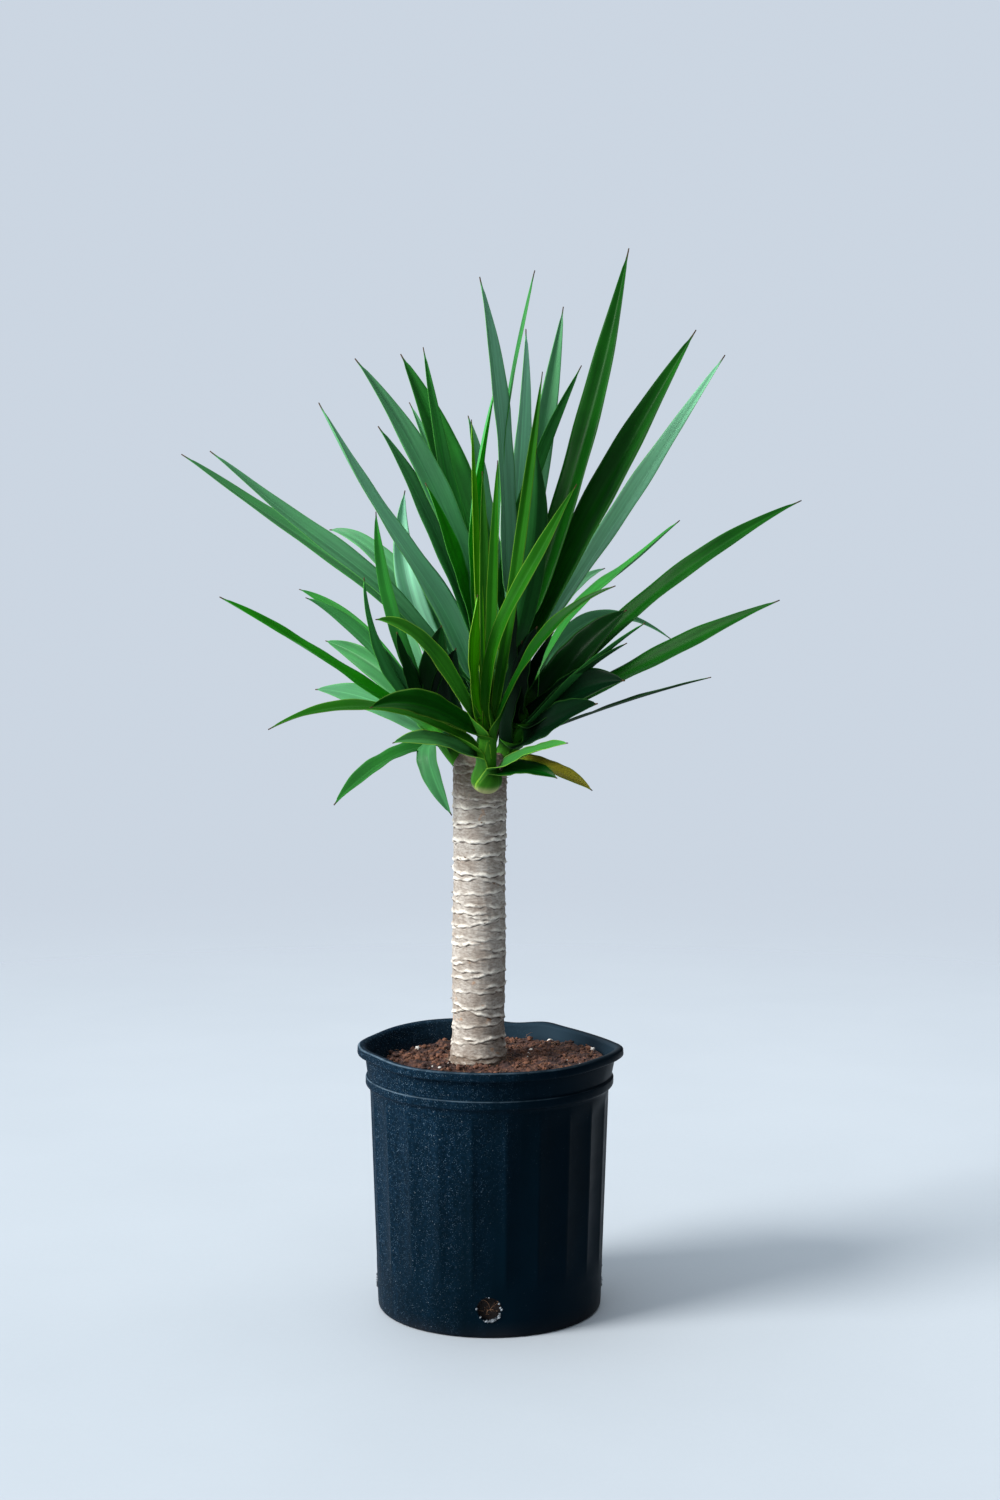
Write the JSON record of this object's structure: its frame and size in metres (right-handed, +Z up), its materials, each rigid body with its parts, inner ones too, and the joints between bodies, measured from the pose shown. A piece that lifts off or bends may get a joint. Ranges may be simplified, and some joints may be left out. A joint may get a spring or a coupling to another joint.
{
  "type": "potted yucca",
  "caption": "Upright ringed cane with rosettes of long folded strap leaves, standing in soil in a round fluted nursery pot with drain holes near its foot",
  "frame": {"origin": "Centre of the pot's flat underside, on the surface that it stands on", "axes": "+Z up along the cane, +X to the right and -Y toward the viewer of the side with the young front shoot"},
  "size_m": [0.607, 0.4218, 1.0451],
  "materials": {
    "pot_plastic": "satin black blow-moulded plastic, dusty and scuffed",
    "soil": "rough reddish-brown coir potting mix",
    "cane_bark": "rough grey-beige bark with ring scars",
    "young_leaf": "glossy bright yellow-green leaf",
    "leaf": "glossy dark green leaf with a paler underside"
  },
  "bodies": {
    "root": {"pot": "pot_plastic", "soil": "soil", "cane": "cane_bark", "shoot_front": "young_leaf", "shoot_left": "leaf", "shoot_right": "leaf", "shoot_centre": "leaf"}
  },
  "joints": []
}
